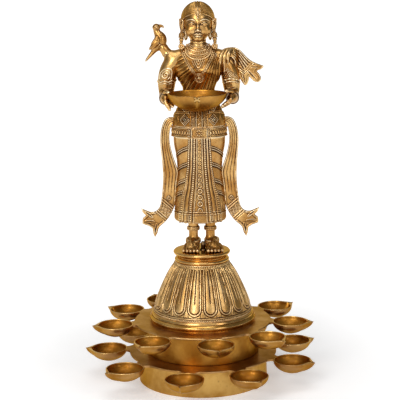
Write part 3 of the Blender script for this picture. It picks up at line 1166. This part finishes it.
def make_parrot():
    body = Body((-80.5, -13, 471), (-40, 13, 531), 0.5)
    back = ((-64.1, 491.2, 3.4), (-58.9, 496.6, 6.6), (-54.7, 502.6, 8.9), (-53.9, 508.6, 7.6),
            (-57.1, 514.2, 4.9), (-59.5, 518.8, 4.1))
    beak = ((-56.0, 524.6, 2.5), (-53.1, 525.4, 1.9), (-50.3, 524.6, 1.3), (-48.9, 522.2, 0.5))
    tail = ((-61.0, 492.5, 3.6), (-65.5, 487.5, 2.8), (-70.3, 482.0, 2.1), (-75.5, 475.6, 1.1))
    wing = ((-58.3, 5.6, 510.0, 2.2), (-59.5, 7.4, 504.6, 4.8), (-62.5, 7.4, 499.2, 4.6),
            (-66.7, 5.8, 495.0, 2.6), (-70.3, 4.6, 492.6, 0.8))
    body.run([(x, 0, z, r) for x, z, r in back], 22, 1.5, 0.82)
    body.ball((-59.4, 0, 523.4), (5.7, 4.8, 5.3), 1.2)
    body.run([(x, 0, z, r) for x, z, r in beak], 12, 0.8, 0.8)
    body.run([(x, 0, z, r) for x, z, r in tail], 14, 1.0, 0.9)
    for side in (-1, 1):
        body.run([(x, -side * y, z, r) for x, y, z, r in wing], 16, 0.6, 0.42)
        body.ball((-59.0, side * 4.6, 523.6), (1.5, 1.0, 1.5), 0.3)

    def feathers(x, y, z):
        far, scales = np.abs(y), np.sin((x + z) * TAU / 3.6) * np.sin((x - z) * TAU / 3.6)
        s = (x + 57.5) * -0.72 + (z - 509.0) * -0.69
        t = (x + 57.5) * -0.69 + (z - 509.0) * 0.72
        collar = 0.7 * soft((x + 56.0) * 0.9 + (z - 519.0) * 0.4, 0.7) * (z > 515) * (z < 521)
        return (0.6 * soft(np.hypot(x + 59.0, z - 523.6) - 2.6, 0.55) * (far > 2.5) + collar
                + (far > 6.4) * smooth(s, 3.0, 5.0) * 0.4 * np.sin(t * TAU / 3.4)
                - 0.7 * soft(s - 3.2, 0.6) * (far > 5.8) * (s > 0) + 0.35 * soft(t - 6.0, 0.5) * (z < 490)
                + 0.1 * scales * (z < 512) * (z > 496) * (x > -56.5))

    body.carve((-80, -13, 471), (-40, 13, 531), feathers)
    body.write("parrot_bird", "parrot")

    # stump that widens to a seam on her right shoulder
    low, high = np.array([-39.1, 0, 478.0]), np.array([-53.1, 0, 499.0])
    side, theta = np.array([0, 1.0, 0]), circle(72)[:, None]
    other = np.cross(unit(high - low), side)
    shares, sizes = np.array((
        (0.0, 3.0), (0.2, 5.6), (0.34, 7.6), (0.385, 7.9), (0.4, 7.45), (0.412, 7.45), (0.427, 7.85),
        (0.5, 7.3), (0.6, 6.9), (0.8, 6.9), (1.0, 5.4),
    )).T
    rings = []
    for share in np.linspace(0, 1, 64):
        uneven = waves(15, 3 * np.cos(theta), 3 * np.sin(theta) + share * 6)
        r = np.interp(share, shares, sizes) + 0.22 * uneven
        rings.append(low + (high - low) * share + r * (np.cos(theta) * side + np.sin(theta) * other))
    piece("parrot_stump", sheet(rings), ["parrot_peg"])


# Head, hair and jewels

HEAD, SKULL = np.array([0, -0.5, 531.0]), np.array([20.4, 22.4, 26.5])


def make_face():
    body = Body((-30, -32, 494.5), (30, 26, 561), 0.55)
    body.limb([(0, 0, 494), (0, -0.5, 512)], [12.2, 11.2], 2.0)
    body.ball(HEAD, SKULL, 3.0)
    body.ball((0, -7.0, 517.5), (15.6, 14.0, 13.6), 4.0)
    body.ball((0, -17.2, 508.2), (5.6, 4.4, 4.4), 3.0)
    for side in (-1, 1):
        def run(blend, *spots):
            body.run([(side * x, *spot) for x, *spot in spots], 14, blend)

        # cheek and eye, then brow, lids, pupil, nostril, ear and the hair round it
        body.ball((side * 10.6, -14.2, 519.6), (7.2, 6.6, 7.6), 4.0)
        body.ball((side * 8.6, -23.0, 528.6), (5.4, 3.0, 3.4), 2.2, -1)
        body.ball((side * 8.5, -16.4, 528.2), (5.2, 4.5, 3.7), 0.5)
        run(0.8, (3.4, 22.3, 533.0, 0.6), (8.0, 21.4, 535.2, 0.85), (13.0, 17.8, 534.6, 0.8),
            (16.2, 14.0, 532.4, 0.5))
        run(0.35, (3.9, 20.3, 527.4, 0.5), (6.4, 20.9, 529.7, 0.7), (9.6, 20.4, 530.4, 0.7),
            (13.6, 17.4, 528.6, 0.5))
        run(0.35, (3.9, 20.3, 527.4, 0.4), (6.8, 20.6, 526.2, 0.5), (10.0, 19.8, 526.2, 0.5),
            (13.6, 17.4, 528.6, 0.4))
        body.ball((side * 8.6, -20.6, 528.3), (1.5, 0.7, 1.5), 0.3)
        body.ball((side * 2.9, -23.6, 519.2), (1.9, 2.2, 1.7), 1.0)
        body.ball((side * 1.5, -24.6, 517.6), (0.7, 1.1, 0.6), 0.3, -1)
        ear = ((20.6, 0.5, 531), (22.2, 1.0, 526), (22.0, 0, 519))
        body.limb([(side * x, y, z) for x, y, z in ear], [2.8, 3.2, 2.6], 1.0)
        run(0.5, (21.2, 3.4, 532.0, 1.0), (23.8, 1.6, 534.6, 1.2), (25.4, -1.6, 531.0, 1.3),
            (25.2, -1.6, 524.0, 1.2), (23.4, 1.0, 517.6, 1.5))
    # nose, lips and the mark on the brow
    body.limb([(0, -21.6, 532.5), (0, -24.2, 525), (0, -25.6, 520.4)], [1.5, 1.9, 2.4], 1.6)
    body.run(((-5.6, 19.6, 513.6, 0.5), (-2.2, 22.2, 514.9, 1.2), (0, 22.7, 514.4, 1.15),
              (2.2, 22.2, 514.9, 1.2), (5.6, 19.6, 513.6, 0.5)), 18, 0.7)
    body.run(((-4.8, 19.9, 513.0, 0.5), (-2.0, 22.2, 511.8, 1.35), (2.0, 22.2, 511.8, 1.35),
              (4.8, 19.9, 513.0, 0.5)), 16, 0.5)
    body.ball((0, -22.4, 537.6), (1.25, 0.9, 1.25), 0.3)

    def throat(x, y, z):
        ring = 0.5 * soft(z - 499.6 - 0.02 * x * x, 0.8) + 0.45 * soft(z - 503.0 - 0.02 * x * x, 0.7)
        return -ring * (y < 4)

    body.carve((-14, -14, 497), (14, 6, 508), throat)
    body.write("face_and_neck", "head")


def make_hair():
    theta, share = circle(360), np.linspace(0.0, 1.0, 260)[:, None]
    level, half, wide, back = 531.4, 28.4, 25.0, 2.2
    # height of the hair's edge by the angle from the front
    turn = np.degrees(np.abs((theta + math.pi) % TAU - math.pi))
    angles, heights = np.array((
        (0, 543.6), (18, 542.6), (35, 540.4), (52, 537.6), (66, 535.2), (80, 533.0), (96, 525.0),
        (120, 513.0), (180, 506.0),
    )).T
    edge = np.interp(turn, angles, heights)
    low_angle = np.arccos(np.clip((edge - level) / half, -1, 1))
    angle = low_angle * share ** 0.9
    r, depth = np.sin(angle), np.where(np.cos(theta) > 0, 24.6, 25.5)
    x, y, z = wide * r * np.sin(theta), back - depth * r * np.cos(theta), level + half * np.cos(angle)
    from_edge = (low_angle - angle) * 26
    # near its edge the hair lies close on the brow and temples
    ray = np.stack([x, y, z], -1) - HEAD
    far = np.linalg.norm(ray, axis=2)
    brow = far / np.linalg.norm(ray / SKULL, axis=2) + 1.7
    close = smooth(np.cos(theta), -0.4, 0.1) * (1 - smooth(from_edge, -1.0, 14.0))
    points = HEAD + ray * (1 + (np.minimum(brow / far, 1) - 1) * close)[..., None]
    # combed locks, a double line along the edge, and the parting's chain
    locks = from_edge / 2.05 + 0.12 * np.sin(theta * 7) + 0.1 * np.sin(theta * 19 + from_edge / 3)
    h = 0.95 * scallops(locks) * smooth(np.abs(x), 1.4, 3.0) * smooth(from_edge, 5.0, 6.0)
    h += 1.15 * bump(from_edge - 1.5, 1.5) + 0.8 * bump(from_edge - 4.1, 1.0)
    part = (np.cos(theta) > 0) * (r > 0.02)
    h += part * 1.4 * bump(x, 1.5) * smooth(from_edge, 3.0, 5.0)
    h -= part * 0.9 * bump(np.abs(x) - 2.2, 1.0) * smooth(from_edge, 4.0, 6.0)
    normal = unit(np.stack([x / wide ** 2, (y - back) / depth ** 2, (z - level) / half ** 2], -1))
    points = points + normal * (h - 0.9)[..., None]
    tuck = [points[-row] - normal[-row] * sink for row, sink in ((1, 2.4), (8, 4.5))]
    points = np.concatenate([points, tuck])
    points[..., 2] = np.minimum(points[..., 2], 560.0)
    parts = [sheet(points[::-1])]

    # knot of hair at the back, wound in a spiral with a string of flowers round it
    turn, lat = circle(200), np.linspace(0.02, 0.98, 70)[:, None] * math.pi
    swell = 0.97 + 0.06 * scallops(lat / math.pi * 5 + turn / TAU)
    out = 13.6 * np.sin(lat)
    knot = np.stack([out * np.cos(turn), -11.0 * np.cos(lat) + 0 * turn, out * np.sin(turn)], -1)
    parts.append(sheet(knot * swell[..., None] + (0, 23.6, 525.0)))
    parts += [ball_part((side * 17.6, 6.5, 512.5), (3.6, 4.6, 9.0), 14, 22) for side in (-1, 1)]
    for a in circle(22):
        parts.append(ball_part((12.8 * math.cos(a), 19.6, 525 + 12.8 * math.sin(a)), (2.0, 1.7, 2.0), 6, 10))
    piece("combed_hair", parts, (), hair_look, 180.0)


def flower(centre, radius, count, lift):
    """Small cast flower that faces the viewer."""
    x, y, z = centre
    parts = [ball_part(centre, (radius * 0.42, lift, radius * 0.42), 6, 12)]
    for a in circle(count) + math.pi / count:
        spot = (x + radius * 0.68 * math.cos(a), y + 0.2 * lift, z + radius * 0.68 * math.sin(a))
        parts.append(ball_part(spot, (radius * 0.36, lift * 0.8, radius * 0.36), 6, 10))
    return parts


def make_head_jewels():
    # jewel under the parting, a point with three drops
    parts = [ball_part((0, -23.6, 545.2), (2.3, 1.5, 2.6), 8, 14)]
    parts.append(ball_part((0, -23.9, 541.2), (1.5, 1.1, 2.0), 6, 12))
    for side in (-1, 1):
        turn = np.array(Matrix.Rotation(math.radians(32 * side), 3, "Y"))
        parts.append(ball_part((side * 2.9, -23.2, 542.6), (0.95, 0.9, 2.4), 6, 10, turn))
        parts.append(ball_part((side * 3.6, -22.6, 547.2), (1.2, 0.9, 1.2), 6, 10))
    for side in (-1, 1):
        parts += flower((side * 24.2, -3.0, 533.4), 3.1, 6, 1.9)
        parts += flower((side * 24.6, -2.0, 527.6), 2.5, 6, 1.9)
    # chains from the temple to the lobe
    for side in (-1, 1):
        line = curve_points([(21.2, -8.5, 531.5), (21.0, -9.5, 524.0), (21.3, -6.5, 518.5)], 16)
        parts += [ball_part(p, 0.85, 5, 8) for p in line * (side, 1, 1)]
    piece("hair_jewels", parts, (), jewel_look, 120.0)


def make_earring(name, hand):
    # height and radius down the drop
    profile = (
        (519.4, 0.8), (518.4, 1.8), (517.4, 1.3), (516.2, 2.4), (514.4, 3.7), (512.2, 4.2), (510.4, 3.9),
        (509.4, 4.1), (508.2, 2.7), (506.4, 3.3), (504.6, 2.9), (503.4, 2.2), (502.0, 2.7), (500.4, 2.1),
        (498.8, 1.0),
    )
    heights, radii = np.array(profile[::-1]).T
    z, theta = np.linspace(heights[0], heights[-1], 60)[:, None], circle(60)
    r, fall = np.interp(z, heights, radii), (519 - z) / 18
    r = r + 0.35 * np.cos(theta * 10) * smooth(r, 2.0, 3.5)
    parts = [sheet(ring_rows(theta, r, z, hand * (22.9 + 1.3 * fall), -1.5 - 3.0 * fall, 0.8))]
    for a in circle(10):
        spot = (hand * 23.6 + 3.9 * math.sin(a), -3.0 - 3.2 * math.cos(a), 509.2)
        parts.append(ball_part(spot, 0.85, 5, 8))
    parts += flower((hand * 23.2, -4.0, 518.2), 2.4, 6, 1.6)
    piece(name + "_ear_drop", parts, [name + "_earring"], jewel_look, 120.0)


def chest_arc(points, count, lift):
    """Smooth line on the chest through (across, height) points from the middle out to her left."""
    spots = [*((-x, z) for x, z in points[:0:-1]), *points]
    return on_chest(curve_points(spots, count), lift)


def make_necklaces():
    parts = []
    collars = (
        (0.9, (0, 495.2), (7.5, 496.8), (12.6, 500.4)), (1.1, (0, 489.8), (12.0, 493.2), (16.5, 499.0)),
        (0.9, (0, 484.4), (13.6, 488.6), (18.8, 496.6)), (1.2, (0, 478.6), (15.4, 484.0), (20.4, 494.4)),
    )
    for radius, *points in collars:
        parts.append(tube_part(chest_arc(points, 60, 0.7), radius, 10))
    rows = (
        (2.1, 1.0, (0, 492.4), (10.0, 494.9), (14.8, 500.0)),
        (2.9, 1.2, (0, 487.0), (12.8, 490.8), (17.8, 497.8)),
        (2.2, 1.05, (0, 481.4), (14.6, 486.2), (19.8, 495.4)),
    )
    for pitch, radius, *points in rows:
        parts += string_of(chest_arc(points, 80, 0.9), pitch, radius)
    # pendant below the lowest collar
    for half, low in ((6.6, 467.4), (3.6, 471.6)):
        line = chest_arc([(0, low), (half * 0.6, (478.4 + low) / 2 - 0.6), (half, 478.4)], 30, 0.9)
        parts.append(tube_part(line, 1.0, 10))
    parts.append(ball_part(on_chest([(0, 476.2)], 1.1)[0], (1.7, 1.4, 2.1), 8, 14))
    parts += string_of(chest_arc([(0, 464.2), (5.4, 469.6), (9.2, 477.6)], 40, 0.8), 2.3, 0.95)
    # long double ropes from the shoulder flowers to the rosette
    for side in (-1, 1):
        for shift in (-1.4, 1.4):
            points = ((23.2 + shift * 0.8, 494.0 + shift * 0.3), (19.6 + shift, 482.0),
                      (12.6 + shift * 0.9, 470.0), (5.6 + shift * 0.8, 459.6), (2.4 + shift * 0.6, 454.6))
            line = on_chest(curve_points([(side * x, z) for x, z in points], 90), 1.3)
            parts.append(rope_part(line, 1.15, 3.4))

    def rosette_ring(away, count, lift):
        return on_chest([(0.9 + away * math.cos(a), 452.3 + away * math.sin(a)) for a in circle(count)], lift)

    parts.append(ball_part(on_chest([(0.9, 452.3)], 1.6)[0], (3.0, 2.2, 3.0), 10, 18))
    parts += [ball_part(spot, 1.35, 6, 10) for spot in rosette_ring(5.0, 12, 1.2)]
    parts.append(tube_part(rosette_ring(3.6, 40, 1.6), 0.65, 8, close=True))
    parts.append(tube_part(rosette_ring(6.7, 56, 0.9), 0.75, 8, close=True))
    piece("necklaces", parts, ["necklace"], jewel_look, 120.0)
    flowers = []
    for side in (-1, 1):
        flowers.append(ball_part((side * 23.8, -7.6, 496.0), (4.4, 4.6, 4.4), 10, 18))
        flowers += flower((side * 23.8, -11.4, 496.6), 4.6, 7, 1.9)
    piece("shoulder_flowers", flowers, (), jewel_look, 120.0)


# Camera, floor and light

def link(obj, place):
    obj.location = place
    bpy.context.scene.collection.objects.link(obj)
    return obj


def make_camera():
    data = bpy.data.cameras.new("photo_camera")
    data.sensor_width, data.lens = 36.0, 122.72
    data.clip_start, data.clip_end = 0.05, 50.0
    camera = link(bpy.data.objects.new("photo_camera", data), (0.0, -1.959, 0.6635))
    camera.rotation_mode = "XYZ"
    down, roll, yaw = math.radians(11.33), math.radians(-0.743), math.radians(0.05)
    tilt = Matrix.Rotation(math.pi / 2 - down, 3, "X") @ Matrix.Rotation(roll, 3, "Z")
    camera.rotation_euler = (Matrix.Rotation(yaw, 3, "Z") @ tilt).to_euler("XYZ")
    bpy.context.scene.camera = camera


def softbox(name, place, aim_height, size, power):
    data = bpy.data.lights.new(name, "AREA")
    data.shape, data.size, data.size_y = "RECTANGLE", size[0], size[1]
    data.energy = power
    obj = link(bpy.data.objects.new(name, data), place)
    obj.rotation_euler = (Vector((0, 0, aim_height)) - Vector(place)).to_track_quat("-Z", "Y").to_euler()


FLOOR_GLOW, WORLD_FILL, WORLD_SIDE, WORLD_TOP, WORLD_FRONT = 0.4, 0.42, 0.2, 0.4, 0.8


def seen_rays(n, *kinds):
    """One for rays of any of these kinds."""
    seen = n.add("LightPath", out="Is Camera Ray")
    for kind in kinds:
        seen = n.maths("MAXIMUM", seen, n.add("LightPath", out=kind))
    return seen


def make_stage():
    mesh = bpy.data.meshes.new("floor")
    reach = 12.0
    corners = [(-reach, -reach, 0), (reach, -reach, 0), (reach, reach, 0), (-reach, reach, 0)]
    mesh.from_pydata(corners, [], [(0, 1, 2, 3)])
    floor = link(bpy.data.objects.new("floor", mesh), (0, 0, 0))
    look = bpy.data.materials.new("pale_floor")
    n = Nodes(look)
    diffuse = n.add("BsdfDiffuse", {"Color": (0.92, 0.92, 0.92, 1)})
    away = n.add("VectorMath", {0: n.add("TexCoord", out="Object")}, "Value", operation="LENGTH")
    level = n.remap(away, 0.1, 0.85, FLOOR_GLOW, 1.0)
    strength = n.times(seen_rays(n, "Is Glossy Ray", "Is Transmission Ray"), level)
    glow = n.add("Emission", {"Color": (1, 1, 1, 1), "Strength": strength})
    n.add("OutputMaterial", {"Surface": n.add("AddShader", {0: diffuse, 1: glow})})
    mesh.materials.append(look)

    world = bpy.data.worlds.new("studio")
    bpy.context.scene.world = world
    n = Nodes(world)
    direction = n.add("TexCoord", out="Generated")
    x, z = (n.add("SeparateXYZ", {0: direction}, axis) for axis in "XZ")
    side = n.maths("ABSOLUTE", n.maths("ADD", x, 0.15), 0.0)
    overhead = n.remap(z, 0.5, 0.9, 1.0, WORLD_TOP / WORLD_FRONT)
    studio = n.times(n.remap(side, 0.45, 0.9, WORLD_FRONT, WORLD_SIDE), overhead)
    seen = seen_rays(n, "Is Glossy Ray", "Is Transmission Ray")
    white = n.maths("MAXIMUM", seen_rays(n), studio)
    strength = n.times(white, n.remap(seen, 0.0, 1.0, WORLD_FILL, 1.0))
    n.add("OutputWorld", {"Surface": n.add("Background", {"Color": (1, 1, 1, 1), "Strength": strength})})


make_camera()
make_stage()
softbox("key", (-0.75, -1.7, 1.15), 0.3, (0.7, 1.0), 16)
softbox("fill", (1.1, -1.3, 0.9), 0.3, (0.5, 1.0), 5)
softbox("top", (-0.05, -0.5, 1.65), 0.2, (1.0, 0.8), 6)
bpy.context.scene.view_settings.view_transform = "Standard"

make_tiers()
make_pedestal()
make_skirt()
make_belt()
make_torso()
make_offering_bowl()
for name, hand, fingers, relief in (("right", -1, RIGHT_HAND, swirl_band), ("left", 1, LEFT_HAND, peak_band)):
    make_arm(name, hand, fingers)
    make_armlet(name, hand, relief)
    make_bangles(name, hand)
    make_sash(name, hand)
    make_earring(name, hand)
for name, hand in (("right", -1), ("left", 1)):
    make_foot(name, hand)
make_peg()
make_drape()
make_parrot()
make_face()
make_hair()
make_head_jewels()
make_necklaces()

plain = {
    "lower_plate": plate_top, "upper_plate": plate_top, "lower_drum": drum_wall, "upper_drum": satin,
    "tie_rod": post_look, "tie_washer": polished, "tie_nut": polished,
}
for node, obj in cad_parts.items():
    obj.data.materials.clear()
    obj.data.materials.append(plain.get(node, antique))
